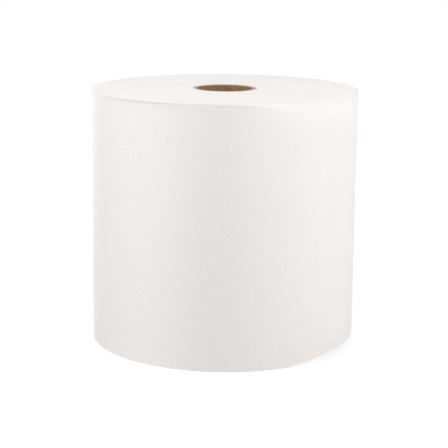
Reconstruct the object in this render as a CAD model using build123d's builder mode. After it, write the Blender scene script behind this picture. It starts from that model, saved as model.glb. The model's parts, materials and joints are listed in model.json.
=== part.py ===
from build123d import *

import os
from math import atan2, cos, degrees, pi, radians, sin, tan

# Hard-wound paper towel roll: one long embossed paper web wound on a spiral board core.
# Millimetres, +Z up along the roll's axis. The origin is the centre of the cut end it stands on.

# Paper web
roll_height = 200.0  # width of the web, which is sawn off flush with the core
roll_diameter = 210.0  # over the last turn
ply = 0.35  # thickness of the embossed paper where it isn't squeezed in the roll

# Loose end of the web, which stands a little off the roll
tail_heading = 125.0  # where it leaves the roll, in degrees from +X: out of sight at the back
tail_length = 26.0  # from there to its cut edge, along the paper
tail_lift = 1.4  # how far the cut edge stands off the turn below it

# Turns whose edges can be told apart on the cut ends
turns_shown = 7
turn_gap = 0.4  # width of the open line between two of them
turn_gap_depth = 0.5
turn_margin = 3.0  # paper between those turns and the core, and the last turn

# Core, a tube wound from strips of board at an angle
core_bore = 44.5
core_wall = 3.0
seam_angle = 42.0  # of the inner strip's edges, in degrees from level
seam_gap = 0.8  # between those edges
seam_depth = 0.4  # thickness of that strip

roll_radius = roll_diameter / 2
bore_radius = core_bore / 2
core_radius = bore_radius + core_wall
tail_rise = atan2(tail_lift, tail_length)
tail_turn = degrees(tail_length / roll_radius)
turn_pitch = (roll_radius - core_radius - 2 * turn_margin - turn_gap) / turns_shown
seam_lead = pi * core_bore * tan(radians(seam_angle))

# The web's section is drawn with local X through the place where the loose end leaves the roll.
heading = radians(tail_heading)
web_plane = Plane(origin=(0, 0, 0), x_dir=(cos(heading), sin(heading), 0), z_dir=(0, 0, 1))


def wind(start_radius, pitch, turns):
    """A spiral of half turns about two centres, from start_radius on local X, a pitch wider each turn."""
    shift = pitch / 4
    for half in range(2 * turns):
        centre = shift if half % 2 else -shift
        CenterArc((centre, 0), start_radius + shift + half * pitch / 2, 180 * (half % 2), 180)


# Wound web: the last turn ends in a thin loose flap, and the turns below it are pressed solid.
with BuildPart() as towel_web:
    with BuildSketch(web_plane) as wound_section:
        with BuildLine():
            leaving = (sin(tail_rise), cos(tail_rise))
            flap_face = JernArc((roll_radius, 0), leaving, roll_radius, tail_turn)
            flap_back = JernArc((roll_radius - ply, 0), leaving, roll_radius - ply, tail_turn)
            Line(flap_face @ 1, flap_back @ 1)
            wind(roll_radius - ply, ply, 1)
        make_face()
        Circle(core_radius, mode=Mode.SUBTRACT)
    extrude(amount=roll_height)

    # Open line between the turns, on the end it stands on and on the top
    for groove_floor in (0, roll_height - turn_gap_depth):
        with BuildSketch(web_plane.offset(groove_floor)) as turn_line:
            with BuildLine():
                innermost = core_radius + turn_margin
                outermost = innermost + turns_shown * turn_pitch
                wind(innermost, turn_pitch, turns_shown)
                wind(innermost + turn_gap, turn_pitch, turns_shown)
                Line((innermost, 0), (innermost + turn_gap, 0))
                Line((outermost, 0), (outermost + turn_gap, 0))
            make_face()
        extrude(amount=turn_gap_depth, mode=Mode.SUBTRACT)

towel_web.part.label = "towel_web"

# Core: its inner strip of board leaves a helical seam up the bore.
with BuildPart() as core_tube:
    with BuildSketch() as tube_section:
        Circle(core_radius)
        Circle(bore_radius, mode=Mode.SUBTRACT)
    extrude(amount=roll_height)

    overrun = seam_gap  # the seam is cut right through both ends
    with BuildLine() as seam_path:
        Helix(seam_lead, roll_height + 2 * overrun, bore_radius, center=(0, 0, -overrun))
    seam_start = seam_path.line @ 0
    across_seam = Plane(origin=seam_start, x_dir=(seam_start.X, seam_start.Y, 0), z_dir=seam_path.line % 0)
    with BuildSketch(across_seam) as seam_section:
        Rectangle(2 * seam_depth, seam_gap)
    sweep(path=seam_path.line, is_frenet=True, mode=Mode.SUBTRACT)

core_tube.part.label = "core_tube"

os.makedirs("parts", exist_ok=True)
for piece in (towel_web.part, core_tube.part):
    export_step(piece, f"parts/{piece.label}.step")
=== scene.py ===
import json
from math import cos, pi, radians, sin, tan

import bpy
from mathutils import Matrix, Vector


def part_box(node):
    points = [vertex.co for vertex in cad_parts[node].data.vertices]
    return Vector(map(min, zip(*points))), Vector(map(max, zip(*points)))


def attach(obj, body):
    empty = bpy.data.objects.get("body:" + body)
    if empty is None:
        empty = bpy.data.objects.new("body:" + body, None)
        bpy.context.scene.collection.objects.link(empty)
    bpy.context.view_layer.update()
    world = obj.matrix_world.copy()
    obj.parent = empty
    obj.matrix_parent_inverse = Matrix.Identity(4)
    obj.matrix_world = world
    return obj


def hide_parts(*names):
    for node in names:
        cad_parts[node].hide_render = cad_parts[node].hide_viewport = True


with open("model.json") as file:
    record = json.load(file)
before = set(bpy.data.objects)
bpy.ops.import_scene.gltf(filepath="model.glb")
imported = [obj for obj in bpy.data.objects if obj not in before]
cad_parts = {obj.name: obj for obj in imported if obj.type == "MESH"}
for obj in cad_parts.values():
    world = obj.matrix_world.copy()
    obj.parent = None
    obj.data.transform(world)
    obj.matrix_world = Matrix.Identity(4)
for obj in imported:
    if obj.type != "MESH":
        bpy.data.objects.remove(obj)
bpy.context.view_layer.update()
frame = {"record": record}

# Board core
# Strips of brown kraft board are wound at an angle over a mandrel and glued into one tube.
# It is sawn off with the paper on it, so its ends are flush with the roll's and show the plies as rings.

core_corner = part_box("core_tube")[1]  # its highest
roll_height = core_corner.z
core_radius = core_corner.x
bore_mount = next(mount for mount in frame["record"]["mounts"] if mount["name"] == "core_bore")
bore_radius = bore_mount["dims"]["r_mm"] / 1000
board_plies = 5
ply_line_depth = 0.00018  # of the fine line between two plies on the sawn ends
ply_end_flat = (0.25, 0.75)  # shares of a ply's thickness between which its end is flat
torn_edge = 0.0003  # how far past those lines the end's torn fibre fades out on the board's face
seam_angle = radians(42)  # of the inner strip's edges, from level
seam_depth = 0.0004
saw_fuzz = 0.00012  # how far torn fibres leave the sawn ends uneven
fuzz_size = 1 / 700  # of a metre, across a clump of them
core_columns = 176  # around, each following the seam, so that one of them is as wide as the seam
core_rows = 72  # up the wall, close enough together for the columns' twist
bore_length = 2 * pi * bore_radius  # around it
seam_lead = bore_length * tan(seam_angle)  # rise of the inner strip's edge in one turn


def add_node(tree, kind, settings=None, inputs=None):
    """A new node with its settings. An input takes a value, a socket, or a node for its first output."""
    made = tree.nodes.new(kind)
    for name, value in (settings or {}).items():
        setattr(made, name, value)
    for name, value in (inputs or {}).items():
        if isinstance(value, bpy.types.Node):
            value = value.outputs[0]
        if isinstance(value, bpy.types.NodeSocket):
            tree.links.new(value, made.inputs[name])
        else:
            made.inputs[name].default_value = value
    return made


def hex_colour(written):
    """A colour written as sRGB hex, as the linear colour that Blender's sockets take."""
    shares = [int(written[i:i + 2], 16) / 255 for i in (1, 3, 5)]
    return [s / 12.92 if s <= 0.04045 else ((s + 0.055) / 1.055) ** 2.4 for s in shares] + [1.0]


def new_material(name):
    """A material and its node tree, with no nodes in it yet."""
    made = bpy.data.materials.new(name)
    made.use_nodes = True
    made.node_tree.nodes.clear()
    return made, made.node_tree


def new_shape(name, named_inputs):
    """A Geometry Nodes tree with named inputs, and the sockets that give their values inside it."""
    tree = bpy.data.node_groups.new(name, "GeometryNodeTree")
    tree.interface.new_socket("Geometry", in_out="INPUT", socket_type="NodeSocketGeometry")
    for input_name, kind in named_inputs.items():
        tree.interface.new_socket(input_name, in_out="INPUT", socket_type="NodeSocket" + kind)
    tree.interface.new_socket("Geometry", in_out="OUTPUT", socket_type="NodeSocketGeometry")
    return tree, tree.nodes.new("NodeGroupInput").outputs


def finish_shape(tree, geometry, material):
    """The end of a tree: smooth and plain geometry with its material."""
    smooth = add_node(tree, "GeometryNodeSetShadeSmooth", inputs={"Geometry": geometry})
    plain = add_node(tree, "GeometryNodeRealizeInstances", inputs={"Geometry": smooth})
    dressed = add_node(tree, "GeometryNodeSetMaterial", inputs={"Geometry": plain, "Material": material})
    add_node(tree, "NodeGroupOutput", inputs={0: dressed})


def grow(name, section, tree, values, sharpest_smooth):
    """A plain mesh that a tree makes from a closed section, which has a row of values for each point."""
    outline = bpy.data.meshes.new(name)
    edges = [(i, (i + 1) % len(section)) for i in range(len(section))]
    outline.from_pydata([(point["depth"], point["height"], 0) for point in section], edges, [])
    for attribute in section[0]:
        layer = outline.attributes.new(attribute, "FLOAT", "POINT")
        layer.data.foreach_set("value", [point[attribute] for point in section])
    piece = bpy.data.objects.new(name, outline)
    bpy.context.scene.collection.objects.link(piece)
    modifier = piece.modifiers.new(tree.name, "NODES")
    modifier.node_group = tree
    for socket in tree.interface.items_tree:
        if socket.in_out == "INPUT" and socket.name in values:
            modifier[socket.identifier] = values[socket.name]
    grown = bpy.data.meshes.new_from_object(piece.evaluated_get(bpy.context.evaluated_depsgraph_get()))
    piece.modifiers.clear()
    piece.data = grown
    grown.set_sharp_from_angle(angle=sharpest_smooth)
    return piece


# Raw kraft board: brown recycled fibre, matt, with darker and paler streaks along the strips and flecks of
# other fibre about a millimetre long. The sawn ends are torn fibre, paler and greyer than the board's face.
# Streaks and flecks are noise about a half each, so their sum lies about 1.
streak_width = 0.0016
streak_length = 0.008
fleck_size = 0.0011
fibre_relief = 0.0002
kraft_board, tree = new_material("kraft_board")
turned, height, sawn = [
    add_node(tree, "ShaderNodeAttribute", {"attribute_name": name}).outputs["Fac"]
    for name in ("turned", "height", "sawn")]
place = add_node(tree, "ShaderNodeTexCoord").outputs["Object"]
across_strip = add_node(tree, "ShaderNodeMath", {"operation": "MULTIPLY"}, {
    0: turned, 1: bore_length / streak_width})
along_strip = add_node(tree, "ShaderNodeMath", {"operation": "MULTIPLY"}, {0: height, 1: 1 / streak_length})
strip_place = add_node(tree, "ShaderNodeCombineXYZ", inputs={"X": across_strip, "Y": along_strip})
streak = add_node(tree, "ShaderNodeTexNoise", inputs={"Vector": strip_place, "Scale": 1.0, "Detail": 4.0})
fleck = add_node(tree, "ShaderNodeTexNoise", inputs={
    "Vector": place, "Scale": 1 / fleck_size, "Detail": 4.0})
both = add_node(tree, "ShaderNodeMath", {"operation": "ADD"}, {0: streak, 1: fleck})
face_tone = add_node(tree, "ShaderNodeMapRange", inputs={
    "Value": both, "From Min": 0.75, "From Max": 1.25, "To Min": 0.0, "To Max": 1.0})
face = add_node(tree, "ShaderNodeMix", {"data_type": "RGBA"}, {
    "Factor": face_tone, 6: hex_colour("#7d6246"), 7: hex_colour("#9b7c5b")})
end = add_node(tree, "ShaderNodeMix", {"data_type": "RGBA"}, {
    "Factor": fleck, 6: hex_colour("#a39483"), 7: hex_colour("#d2c8ba")})
tone = add_node(tree, "ShaderNodeMix", {"data_type": "RGBA"}, {
    "Factor": sawn, 6: face.outputs[2], 7: end.outputs[2]})
rough = add_node(tree, "ShaderNodeBump", inputs={"Strength": 0.6, "Distance": fibre_relief, "Height": both})
board = add_node(tree, "ShaderNodeBsdfPrincipled", inputs={
    "Base Color": tone.outputs[2], "Roughness": 0.9, "IOR": 1.5, "Normal": rough})
add_node(tree, "ShaderNodeOutputMaterial", inputs={"Surface": board})

# The wall's section: up the bore, across the plies, down the outside and back across the plies
face_start = ply_line_depth + torn_edge
inner_rows = [roll_height * row / core_rows for row in range(1, core_rows)]
wall_rows = [face_start, *inner_rows, roll_height - face_start]
ply_thickness = (core_radius - bore_radius) / board_plies
ply_points = []
for ply_number in range(board_plies):
    inside = bore_radius + ply_number * ply_thickness
    ply_points.append((inside, ply_line_depth))
    ply_points += [(inside + share * ply_thickness, 0) for share in ply_end_flat]
ply_points.append((core_radius, ply_line_depth))
wall_section = [{"depth": bore_radius, "height": z, "sawn": 0} for z in wall_rows]
wall_section += [{"depth": r, "height": roll_height - down, "sawn": 1} for r, down in ply_points]
wall_section += [{"depth": core_radius, "height": z, "sawn": 0} for z in reversed(wall_rows)]
wall_section += [{"depth": r, "height": up, "sawn": 1} for r, up in reversed(ply_points)]

# The section is carried round a circle, and each column of it is turned on with its height, along the seam.
# The first column is the seam itself, and its points in the bore lie deeper.
rounding = 0.00001  # values that differ by less count as the same
spiral_tube, sizes = new_shape("spiral_tube", {
    "Columns": "Int", "Height": "Float", "Bore Radius": "Float", "Seam Lead": "Float",
    "Seam Depth": "Float", "Fuzz": "Float", "Fuzz Size": "Float", "Board": "Material"})
tree = spiral_tube
wall = add_node(tree, "GeometryNodeMeshToCurve", inputs={"Mesh": sizes["Geometry"]})
around = add_node(tree, "GeometryNodeCurvePrimitiveCircle", inputs={
    "Resolution": sizes["Columns"], "Radius": 1.0})
column = add_node(tree, "GeometryNodeInputIndex")
share = add_node(tree, "ShaderNodeMath", {"operation": "DIVIDE"}, {0: column, 1: sizes["Columns"]})
columns = add_node(tree, "GeometryNodeStoreNamedAttribute", {"data_type": "FLOAT", "domain": "POINT"}, {
    "Geometry": around, "Name": "turned", "Value": share})
tube = add_node(tree, "GeometryNodeCurveToMesh", inputs={"Curve": columns, "Profile Curve": wall})
turned, height, depth, sawn = [
    add_node(tree, "GeometryNodeInputNamedAttribute", {"data_type": "FLOAT"}, {"Name": name})
    for name in ("turned", "height", "depth", "sawn")]
rise = add_node(tree, "ShaderNodeMath", {"operation": "DIVIDE"}, {0: height, 1: sizes["Seam Lead"]})
wound = add_node(tree, "ShaderNodeMath", {"operation": "ADD"}, {0: turned, 1: rise})
angle = add_node(tree, "ShaderNodeMath", {"operation": "MULTIPLY"}, {0: wound, 1: 2 * pi})
in_seam = add_node(tree, "ShaderNodeMath", {"operation": "COMPARE"}, {0: turned, 1: 0.0, 2: rounding})
in_bore = add_node(tree, "ShaderNodeMath", {"operation": "COMPARE"}, {
    0: depth, 1: sizes["Bore Radius"], 2: rounding})
gap = add_node(tree, "ShaderNodeMath", {"operation": "MULTIPLY"}, {0: in_seam, 1: in_bore})
radius = add_node(tree, "ShaderNodeMath", {"operation": "MULTIPLY_ADD"}, {
    0: gap, 1: sizes["Seam Depth"], 2: depth})
upright = add_node(tree, "ShaderNodeCombineXYZ", inputs={"X": radius, "Z": height})
placed = add_node(tree, "ShaderNodeVectorRotate", {"rotation_type": "Z_AXIS"}, {
    "Vector": upright, "Angle": angle})

# Torn fibre leaves both ends uneven, towards the middle of the tube's height.
fineness = add_node(tree, "ShaderNodeMath", {"operation": "DIVIDE"}, {0: 1.0, 1: sizes["Fuzz Size"]})
torn = add_node(tree, "ShaderNodeTexNoise", inputs={"Vector": placed, "Scale": fineness, "Detail": 1.0})
sunk = add_node(tree, "ShaderNodeMath", {"operation": "MULTIPLY"}, {0: torn, 1: sizes["Fuzz"]})
on_end = add_node(tree, "ShaderNodeMath", {"operation": "MULTIPLY"}, {0: sunk, 1: sawn})
middle = add_node(tree, "ShaderNodeMath", {"operation": "DIVIDE"}, {0: sizes["Height"], 1: 2.0})
past_middle = add_node(tree, "ShaderNodeMath", {"operation": "SUBTRACT"}, {0: middle, 1: height})
inward = add_node(tree, "ShaderNodeMath", {"operation": "SIGN"}, {0: past_middle})
moved = add_node(tree, "ShaderNodeMath", {"operation": "MULTIPLY"}, {0: on_end, 1: inward})
offset = add_node(tree, "ShaderNodeCombineXYZ", inputs={"Z": moved})
shaped = add_node(tree, "GeometryNodeSetPosition", inputs={
    "Geometry": tube, "Position": placed, "Offset": offset})
finish_shape(tree, shaped, sizes["Board"])

board_core = grow("board_core", wall_section, spiral_tube, {
    "Columns": core_columns, "Height": roll_height, "Bore Radius": bore_radius, "Seam Lead": seam_lead,
    "Seam Depth": seam_depth, "Fuzz": saw_fuzz, "Fuzz Size": fuzz_size, "Board": kraft_board},
    sharpest_smooth=radians(40))
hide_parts("core_tube")
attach(board_core, "root")

# Inner turns
# One long sheet of creped towel paper, wound hard onto the core. A log saw cuts the wound log into rolls,
# so both ends are flat and show the turns' edges. Handling has crushed part of both rims.

roll_radius = 0.105
ply = 0.00035
tail_heading = radians(125)  # where the loose end leaves the roll
inner_radius = roll_radius - 2 * ply  # of the turns below the last one, where that one starts
drawn_turns = 72  # from the core to there, each of which stands for ten real ones, too fine to show
bundle = (inner_radius - core_radius) / drawn_turns  # thickness of a drawn turn
bundle_crest = 0.00012  # how far its edge stands out in the middle
bundle_steps = 120  # in a turn
edge_wander = 0.0002  # how far the saw pulled the edges in, here more and there less
rim_places = [
    # end, heading, half spread, how far it is pushed in and leans inward,
    # and how far in from the rim and along the roll it starts
    ("top", radians(-45), radians(38), 0.0065, 0.0012, 0.009, 0.020),
    ("top", radians(-128), radians(26), 0.0002, -0.0005, 0.004, 0.004),
    ("bottom", radians(-17), radians(50), 0.005, 0.0003, 0.028, 0.024),
]
crush_curve = 2.0  # power by which a crushed place gets steeper towards the rim

# Sawn towel paper: the ends of soft matt fibres, warm white. Turns that the saw pressed shut look a shade
# darker than the ones it pulled open, which shows as faint rings.
fibre_clump = 1 / 700  # of a metre
ring_arc = 1 / 0.7  # angle along a turn, in radians, in which its shade changes
torn_relief = 0.0002
sawn_paper, tree = new_material("sawn_towel_paper")
turned = add_node(tree, "ShaderNodeAttribute", {"attribute_name": "turned"}).outputs["Fac"]
place = add_node(tree, "ShaderNodeTexCoord").outputs["Object"]
fibres = add_node(tree, "ShaderNodeTexNoise", inputs={
    "Vector": place, "Scale": 1 / fibre_clump, "Detail": 4.0})
rings = add_node(tree, "ShaderNodeTexNoise", {"noise_dimensions": "1D"}, {
    "W": turned, "Scale": 1 / ring_arc, "Detail": 3.0})
mottle = add_node(tree, "ShaderNodeMath", {"operation": "ADD"}, {0: fibres, 1: rings})
tone = add_node(tree, "ShaderNodeMapRange", inputs={
    "Value": mottle, "From Min": 0.7, "From Max": 1.3, "To Min": 0.0, "To Max": 1.0})
colour = add_node(tree, "ShaderNodeMix", {"data_type": "RGBA"}, {
    "Factor": tone, 6: hex_colour("#f1edea"), 7: hex_colour("#f7f3f1")})
pulled = add_node(tree, "ShaderNodeBump", inputs={
    "Strength": 0.4, "Distance": torn_relief, "Height": fibres})
paper_ends = add_node(tree, "ShaderNodeBsdfPrincipled", inputs={
    "Base Color": colour.outputs[2], "Roughness": 0.85, "IOR": 1.5, "Normal": pulled})
add_node(tree, "ShaderNodeOutputMaterial", inputs={"Surface": paper_ends})

# A section across the sheet is carried along a straight path, of which only the number of steps counts.
# Each point of the strip is then wound up by its place along the sheet.
wound_web, sizes = new_shape("wound_web", {
    "Steps": "Int", "Step Angle": "Float", "Heading": "Float", "Start Radius": "Float",
    "Turn Pitch": "Float", "Lowest Radius": "Float", "Highest Radius": "Float", "Ply": "Float",
    "Roll Radius": "Float", "Web Width": "Float", "Dot Angle": "Float", "Dots Across": "Float",
    "Dot Height": "Float", "Tail Start": "Float", "Tail Angle": "Float", "Tail Lift": "Float",
    "Edge Wander": "Float", "Wander Arc": "Float", "Seed": "Float", "Paper": "Material"})
tree = wound_web
across = add_node(tree, "GeometryNodeMeshToCurve", inputs={"Mesh": sizes["Geometry"]})
count = add_node(tree, "ShaderNodeMath", {"operation": "ADD"}, {0: sizes["Steps"], 1: 1.0})
line = add_node(tree, "GeometryNodeMeshLine", inputs={"Count": count, "Offset": (0.001, 0, 0)})
path = add_node(tree, "GeometryNodeMeshToCurve", inputs={"Mesh": line})
step = add_node(tree, "GeometryNodeInputIndex")
wound = add_node(tree, "ShaderNodeMath", {"operation": "MULTIPLY"}, {0: step, 1: sizes["Step Angle"]})
along = add_node(tree, "GeometryNodeStoreNamedAttribute", {"data_type": "FLOAT", "domain": "POINT"}, {
    "Geometry": path, "Name": "turned", "Value": wound})
strip = add_node(tree, "GeometryNodeCurveToMesh", inputs={
    "Curve": along, "Profile Curve": across, "Fill Caps": True})
strip = add_node(tree, "GeometryNodeFlipFaces", inputs={"Mesh": strip})
turned, height, depth, embossed = [
    add_node(tree, "GeometryNodeInputNamedAttribute", {"data_type": "FLOAT"}, {"Name": name})
    for name in ("turned", "height", "depth", "embossed")]
heading = add_node(tree, "ShaderNodeMath", {"operation": "ADD"}, {0: turned, 1: sizes["Heading"]})

# The radius grows by one pitch in each turn. It stays between the core and the inner face of the last turn,
# which stands one ply further out where that turn ends than where it starts.
just_under = 0.0001  # of a turn, so that the end of one isn't taken for the start of the next
turns = add_node(tree, "ShaderNodeMath", {"operation": "DIVIDE"}, {0: turned, 1: 2 * pi})
wall = add_node(tree, "ShaderNodeMath", {"operation": "MULTIPLY_ADD"}, {
    0: turns, 1: sizes["Turn Pitch"], 2: sizes["Start Radius"]})
face = add_node(tree, "ShaderNodeMath", {"operation": "SUBTRACT"}, {0: wall, 1: depth})
up_to_here = add_node(tree, "ShaderNodeMath", {"operation": "SUBTRACT"}, {0: turns, 1: just_under})
share_of_turn = add_node(tree, "ShaderNodeMath", {"operation": "FRACT"}, {0: up_to_here})
highest = add_node(tree, "ShaderNodeMath", {"operation": "MULTIPLY_ADD"}, {
    0: share_of_turn, 1: sizes["Ply"], 2: sizes["Highest Radius"]})
tight = add_node(tree, "ShaderNodeClamp", inputs={
    "Value": face, "Min": sizes["Lowest Radius"], "Max": highest})

# Emboss: staggered dots, where a wave along the sheet and a wave across it crest together.
# The wave along it starts a twelfth of the way on, so that no dot's slopes cancel out in the mesh.
first_phase = pi / 6
dots_along = add_node(tree, "ShaderNodeMath", {"operation": "DIVIDE"}, {0: turned, 1: sizes["Dot Angle"]})
phase_along = add_node(tree, "ShaderNodeMath", {"operation": "MULTIPLY_ADD"}, {
    0: dots_along, 1: 2 * pi, 2: first_phase})
wave_along = add_node(tree, "ShaderNodeMath", {"operation": "COSINE"}, {0: phase_along})
up = add_node(tree, "ShaderNodeMath", {"operation": "DIVIDE"}, {0: height, 1: sizes["Web Width"]})
dots_up = add_node(tree, "ShaderNodeMath", {"operation": "MULTIPLY"}, {0: up, 1: sizes["Dots Across"]})
phase_up = add_node(tree, "ShaderNodeMath", {"operation": "MULTIPLY"}, {0: dots_up, 1: 2 * pi})
wave_up = add_node(tree, "ShaderNodeMath", {"operation": "COSINE"}, {0: phase_up})
crests = add_node(tree, "ShaderNodeMath", {"operation": "MULTIPLY"}, {0: wave_along, 1: wave_up})
dots = add_node(tree, "ShaderNodeMath", {"operation": "MAXIMUM"}, {0: crests, 1: 0.0})
below = add_node(tree, "ShaderNodeMath", {"operation": "SUBTRACT"}, {0: dots, 1: 1.0})
relief = add_node(tree, "ShaderNodeMath", {"operation": "MULTIPLY"}, {0: below, 1: sizes["Dot Height"]})
emboss = add_node(tree, "ShaderNodeMath", {"operation": "MULTIPLY"}, {0: relief, 1: embossed})
dotted = add_node(tree, "ShaderNodeMath", {"operation": "ADD"}, {0: tight, 1: emboss})

# Loose end, which stands off further the nearer it comes to its cut edge
tail_curve = 1.3  # power by which it lifts off more and more steeply
past_start = add_node(tree, "ShaderNodeMath", {"operation": "SUBTRACT"}, {0: turned, 1: sizes["Tail Start"]})
tail_share = add_node(tree, "ShaderNodeMath", {"operation": "DIVIDE", "use_clamp": True}, {
    0: past_start, 1: sizes["Tail Angle"]})
curl = add_node(tree, "ShaderNodeMath", {"operation": "POWER"}, {0: tail_share, 1: tail_curve})
loose = add_node(tree, "ShaderNodeMath", {"operation": "MULTIPLY_ADD"}, {
    0: curl, 1: sizes["Tail Lift"], 2: dotted})

# Crushed places of the rims
leaning = loose
shifted = height
for end, place_heading, half_spread, push, lean, reach_in, reach_along in rim_places:
    swing = add_node(tree, "ShaderNodeMath", {"operation": "SUBTRACT"}, {0: heading, 1: place_heading})
    facing = add_node(tree, "ShaderNodeMath", {"operation": "COSINE"}, {0: swing})
    inside = add_node(tree, "ShaderNodeMapRange", {"interpolation_type": "SMOOTHSTEP"}, {
        "Value": facing, "From Min": cos(half_spread), "From Max": 1.0, "To Min": 0.0, "To Max": 1.0})
    in_from_rim = add_node(tree, "ShaderNodeMath", {"operation": "SUBTRACT"}, {
        0: sizes["Roll Radius"], 1: tight})
    near_side = add_node(tree, "ShaderNodeMapRange", inputs={
        "Value": in_from_rim, "From Min": reach_in, "From Max": 0.0, "To Min": 0.0, "To Max": 1.0})
    near_rim = add_node(tree, "ShaderNodeMath", {"operation": "POWER"}, {0: near_side, 1: crush_curve})
    from_end = height
    if end == "top":
        from_end = add_node(tree, "ShaderNodeMath", {"operation": "SUBTRACT"}, {
            0: sizes["Web Width"], 1: height})
        push = -push
    near_end = add_node(tree, "ShaderNodeMapRange", inputs={
        "Value": from_end, "From Min": reach_along, "From Max": 0.0, "To Min": 0.0, "To Max": 1.0})
    steeper = add_node(tree, "ShaderNodeMath", {"operation": "POWER"}, {0: near_end, 1: crush_curve})
    crushed = add_node(tree, "ShaderNodeMath", {"operation": "MULTIPLY"}, {0: inside, 1: near_rim})
    leant = add_node(tree, "ShaderNodeMath", {"operation": "MULTIPLY"}, {0: crushed, 1: steeper})
    sunk = add_node(tree, "ShaderNodeMath", {"operation": "MULTIPLY"}, {0: crushed, 1: near_end})
    leaning = add_node(tree, "ShaderNodeMath", {"operation": "MULTIPLY_ADD"}, {
        0: leant, 1: -lean, 2: leaning})
    shifted = add_node(tree, "ShaderNodeMath", {"operation": "MULTIPLY_ADD"}, {
        0: sunk, 1: push, 2: shifted})

# Sawn edges, which wander a little along the sheet: the lower one upwards and the upper one downwards
arcs = add_node(tree, "ShaderNodeMath", {"operation": "DIVIDE"}, {0: turned, 1: sizes["Wander Arc"]})
wander_place = add_node(tree, "ShaderNodeCombineXYZ", inputs={"X": arcs, "Y": sizes["Seed"]})
wander = add_node(tree, "ShaderNodeTexNoise", {"noise_dimensions": "2D"}, {
    "Vector": wander_place, "Scale": 1.0, "Detail": 3.0})
short = add_node(tree, "ShaderNodeMath", {"operation": "MULTIPLY"}, {0: wander, 1: sizes["Edge Wander"]})
to_middle = add_node(tree, "ShaderNodeMath", {"operation": "MULTIPLY_ADD"}, {0: up, 1: -2.0, 2: 1.0})
edge = add_node(tree, "ShaderNodeMath", {"operation": "MULTIPLY_ADD"}, {0: short, 1: to_middle, 2: shifted})

upright = add_node(tree, "ShaderNodeCombineXYZ", inputs={"X": leaning, "Z": edge})
placed = add_node(tree, "ShaderNodeVectorRotate", {"rotation_type": "Z_AXIS"}, {
    "Vector": upright, "Angle": heading})
shaped = add_node(tree, "GeometryNodeSetPosition", inputs={"Geometry": strip, "Position": placed})
finish_shape(tree, shaped, sizes["Paper"])

web_sizes = {
    "Heading": tail_heading, "Ply": ply, "Roll Radius": roll_radius, "Web Width": roll_height,
    "Edge Wander": edge_wander, "Wander Arc": ring_arc}
no_tail = 1000.0  # past the end of the sheet
hair = 0.00003  # thickness at which the spiral of bundles starts

# A drawn turn's section, whose two edges are crested so that the turns show as rings
bundle_section = [
    {"depth": 0, "height": bundle_crest}, {"depth": 0, "height": roll_height - bundle_crest},
    {"depth": bundle / 2, "height": roll_height}, {"depth": bundle, "height": roll_height - bundle_crest},
    {"depth": bundle, "height": bundle_crest}, {"depth": bundle / 2, "height": 0}]
inner_turns = grow("inner_turns", bundle_section, wound_web, {
    **web_sizes, "Steps": (drawn_turns + 1) * bundle_steps, "Step Angle": 2 * pi / bundle_steps,
    "Start Radius": core_radius + hair, "Turn Pitch": bundle, "Lowest Radius": core_radius,
    "Highest Radius": inner_radius, "Dot Angle": 1.0, "Tail Start": no_tail, "Tail Angle": 1.0,
    "Seed": 3.0, "Paper": sawn_paper}, sharpest_smooth=radians(50))
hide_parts("towel_web")
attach(inner_turns, "root")

# Last turn and loose end
# The outermost turn of the same sheet, one ply thick, with its emboss of fine staggered dots.
# Its last few centimetres aren't glued down and stand a little off the roll, at the back.

tail_length = 0.026
tail_lift = 0.0014
tail_angle = tail_length / roll_radius
dots_along_turn = 153  # and the loose end, which makes them 4.48 mm apart
dots_across = 49  # 4.08 mm apart, with another dot in the middle of each four
dot_height = 0.0001
columns_per_dot = 3
rows_per_dot = 4
last_steps = dots_along_turn * columns_per_dot
last_rows = dots_across * rows_per_dot
step_angle = (2 * pi + tail_angle) / last_steps
dot_angle = columns_per_dot * step_angle

# Creped and embossed towel paper: soft, matt and warm white, mottled by its short fibres, with fine crepe
# ridges along the roll's axis. Real ridges are about 0.3 mm apart and are drawn 0.8 mm apart. The dots' own
# relief is in the mesh. Here they get the steep sides that its few faces can't give, and whiter tops, partly
# from the less pressed paper and partly as painted shade that darkens the ground between the dots.
ridge_spacing = 0.0008
ridge_length = 0.006
ridge_relief = 0.0001
dot_foot = 0.2  # share of the crest at which a dot's steep side starts
dot_top = 0.95  # and ends
side_relief = dot_height / 2
# Dots' tops whiter: partly less pressed paper, partly painted shade on the ground between the dots
top_whiteness_and_painted_shade = 0.1  # how much of the fibres' mottle a dot's top is whiter by
towel_paper, tree = new_material("creped_towel_paper")
turned, height = [
    add_node(tree, "ShaderNodeAttribute", {"attribute_name": name}).outputs["Fac"]
    for name in ("turned", "height")]
place = add_node(tree, "ShaderNodeTexCoord").outputs["Object"]
phase_along = add_node(tree, "ShaderNodeMath", {"operation": "MULTIPLY_ADD"}, {
    0: turned, 1: 2 * pi / dot_angle, 2: first_phase})
wave_along = add_node(tree, "ShaderNodeMath", {"operation": "COSINE"}, {0: phase_along})
phase_up = add_node(tree, "ShaderNodeMath", {"operation": "MULTIPLY"}, {
    0: height, 1: 2 * pi * dots_across / roll_height})
wave_up = add_node(tree, "ShaderNodeMath", {"operation": "COSINE"}, {0: phase_up})
crests = add_node(tree, "ShaderNodeMath", {"operation": "MULTIPLY"}, {0: wave_along, 1: wave_up})
dots = add_node(tree, "ShaderNodeMapRange", {"interpolation_type": "SMOOTHSTEP"}, {
    "Value": crests, "From Min": dot_foot, "From Max": dot_top, "To Min": 0.0, "To Max": 1.0})
across_ridges = add_node(tree, "ShaderNodeMath", {"operation": "MULTIPLY"}, {
    0: turned, 1: roll_radius / ridge_spacing})
along_ridges = add_node(tree, "ShaderNodeMath", {"operation": "MULTIPLY"}, {0: height, 1: 1 / ridge_length})
crepe_place = add_node(tree, "ShaderNodeCombineXYZ", inputs={"X": across_ridges, "Y": along_ridges})
crepe = add_node(tree, "ShaderNodeTexNoise", inputs={"Vector": crepe_place, "Scale": 1.0, "Detail": 2.0})
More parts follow.
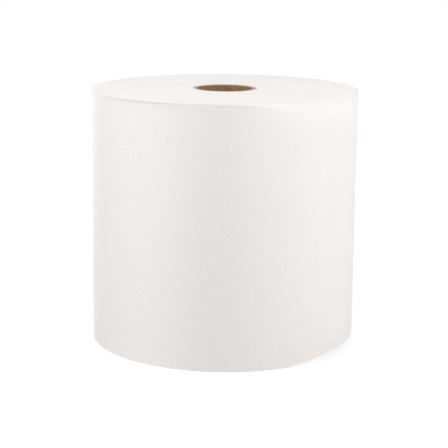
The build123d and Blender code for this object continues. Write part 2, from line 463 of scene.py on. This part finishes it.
fibres = add_node(tree, "ShaderNodeTexNoise", inputs={
    "Vector": place, "Scale": 1 / fibre_clump, "Detail": 3.0})
# The dots lift the colour: partly less pressed paper, partly painted shade between the dots
mottle = add_node(tree, "ShaderNodeMath", {"operation": "MULTIPLY_ADD"}, {
    0: dots, 1: top_whiteness_and_painted_shade, 2: fibres})
tone = add_node(tree, "ShaderNodeMapRange", inputs={
    "Value": mottle, "From Min": 0.3, "From Max": 0.9, "To Min": 0.0, "To Max": 1.0})
colour = add_node(tree, "ShaderNodeMix", {"data_type": "RGBA"}, {
    "Factor": tone, 6: hex_colour("#eeeae7"), 7: hex_colour("#f8f4f1")})
creased = add_node(tree, "ShaderNodeBump", inputs={
    "Strength": 0.25, "Distance": ridge_relief, "Height": crepe})
embossed = add_node(tree, "ShaderNodeBump", inputs={
    "Strength": 1.0, "Distance": side_relief, "Height": dots, "Normal": creased})
paper = add_node(tree, "ShaderNodeBsdfPrincipled", inputs={
    "Base Color": colour.outputs[2], "Roughness": 0.75, "IOR": 1.5, "Normal": embossed})
add_node(tree, "ShaderNodeOutputMaterial", inputs={"Surface": paper})

# The section up the sheet's face and down its back. The saw has pressed the emboss half flat at its edges.
face_rows = [roll_height * (row + 0.5) / last_rows for row in range(last_rows)]
sheet_section = [{"depth": 0, "height": 0, "embossed": 0.5}]
sheet_section += [{"depth": 0, "height": z, "embossed": 1} for z in face_rows]
sheet_section += [{"depth": 0, "height": roll_height, "embossed": 0.5}]
sheet_section += [{"depth": ply, "height": z, "embossed": 0} for z in (roll_height, 0)]
last_turn = grow("last_turn", sheet_section, wound_web, {
    **web_sizes, "Steps": last_steps, "Step Angle": step_angle, "Start Radius": roll_radius - ply,
    "Turn Pitch": ply, "Lowest Radius": 0.0, "Highest Radius": 1.0, "Dot Angle": dot_angle,
    "Dots Across": float(dots_across), "Dot Height": dot_height, "Tail Start": 2 * pi,
    "Tail Angle": tail_angle, "Tail Lift": tail_lift, "Seed": 8.0, "Paper": towel_paper},
    sharpest_smooth=radians(60))
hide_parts("towel_web")
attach(last_turn, "root")

# Floor
# A plain white sweep. It looks as white as the background, and darker where the roll shades it.

floor_half = 3.0
dim_radius = 0.15  # round the roll's axis, where the floor glows least
bright_radius = 0.6  # where it glows as white as the background
least_glow = 0.8
sweep_grey = (0.25, 0.25, 0.25, 1)


def seen_itself(tree):
    """1 where the camera sees a surface, straight, in gloss or through glass, and 0 where it gives light."""
    rays = add_node(tree, "ShaderNodeLightPath").outputs
    seen = rays["Is Camera Ray"]
    for ray in ("Is Glossy Ray", "Is Transmission Ray"):
        seen = add_node(tree, "ShaderNodeMath", {"operation": "MAXIMUM"}, {0: seen, 1: rays[ray]})
    return seen


floor_mesh = bpy.data.meshes.new("floor")
corners = [(x * floor_half, y * floor_half, 0) for x, y in ((-1, -1), (1, -1), (1, 1), (-1, 1))]
floor_mesh.from_pydata(corners, [], [(0, 1, 2, 3)])
floor = bpy.data.objects.new("floor", floor_mesh)
bpy.context.scene.collection.objects.link(floor)
white_sweep, tree = new_material("white_sweep")
seen = seen_itself(tree)
place = add_node(tree, "ShaderNodeTexCoord").outputs["Object"]
away = add_node(tree, "ShaderNodeVectorMath", {"operation": "LENGTH"}, {0: place}).outputs["Value"]
glow = add_node(tree, "ShaderNodeMapRange", {"interpolation_type": "SMOOTHSTEP"}, {
    "Value": away, "From Min": dim_radius, "From Max": bright_radius, "To Min": least_glow, "To Max": 1.0})
strength = add_node(tree, "ShaderNodeMath", {"operation": "MULTIPLY"}, {0: seen, 1: glow})
glowing = add_node(tree, "ShaderNodeEmission", inputs={"Color": (1, 1, 1, 1), "Strength": strength})
plain = add_node(tree, "ShaderNodeBsdfDiffuse", inputs={"Color": sweep_grey})
sweep = add_node(tree, "ShaderNodeAddShader", inputs={0: plain, 1: glowing})
add_node(tree, "ShaderNodeOutputMaterial", inputs={"Surface": sweep})
floor_mesh.materials.append(white_sweep)

# Studio
# Soft boxes all round, out of the camera's sight, and a background that looks white but gives no light.
# The camera stands in front of the roll and a little above it, and looks down at it.

studio = bpy.data.worlds.new("studio")
bpy.context.scene.world = studio
studio.use_nodes = True
tree = studio.node_tree
tree.nodes.clear()
white = add_node(tree, "ShaderNodeBackground", inputs={"Color": (1, 1, 1, 1), "Strength": seen_itself(tree)})
add_node(tree, "ShaderNodeOutputWorld", inputs={"Surface": white})

box_distance = 1.6
box_width = 0.3
box_height = 0.5
soft_boxes = [
    # name, azimuth from the front towards the right, elevation, watts
    ("front", 0, 20, 10.6),
    ("front_left_low", -60, 6, 5.7),
    ("front_right_high", 30, 45, 5.8),
    ("right", 75, 20, 5.5),
    ("right_low", 90, 6, 8.3),
    ("left_high", -90, 45, 14.8),
    ("back_left_low", -150, 6, 8.0),
    ("back_right_low", 135, 6, 3.0),
    ("back", 165, 20, 7.3),
]
roll_middle = Vector((0, 0, roll_height / 2))
for name, azimuth, elevation, watts in soft_boxes:
    lamp = bpy.data.lights.new(name, "AREA")
    lamp.shape = "RECTANGLE"
    lamp.size = box_width
    lamp.size_y = box_height
    lamp.energy = watts
    box = bpy.data.objects.new(name, lamp)
    box.visible_camera = False
    level = cos(radians(elevation))
    outward = Vector((sin(radians(azimuth)) * level, -cos(radians(azimuth)) * level, sin(radians(elevation))))
    box.location = roll_middle + box_distance * outward
    box.rotation_euler = (-outward).to_track_quat("-Z", "Y").to_euler()
    bpy.context.scene.collection.objects.link(box)

# The camera's place, lens and angles come from a fit to the roll's outline in the photo.
camera_back = 1.09633  # from the roll's axis
camera_up = 0.32689  # from the floor
look_right = radians(0.019)
look_down = radians(12.1738)
lean_left = radians(0.580)
camera_data = bpy.data.cameras.new("camera")
camera_data.sensor_width = 36.0
camera_data.lens = 112.17
camera = bpy.data.objects.new("camera", camera_data)
camera.location = (0, -camera_back, camera_up)
turn = Matrix.Rotation(-look_right, 4, "Z")
tilt = Matrix.Rotation(radians(90) - look_down, 4, "X")
lean = Matrix.Rotation(lean_left, 4, "Z")
camera.rotation_euler = (turn @ tilt @ lean).to_euler()
bpy.context.scene.collection.objects.link(camera)
bpy.context.scene.camera = camera
bpy.context.scene.view_settings.view_transform = "Standard"
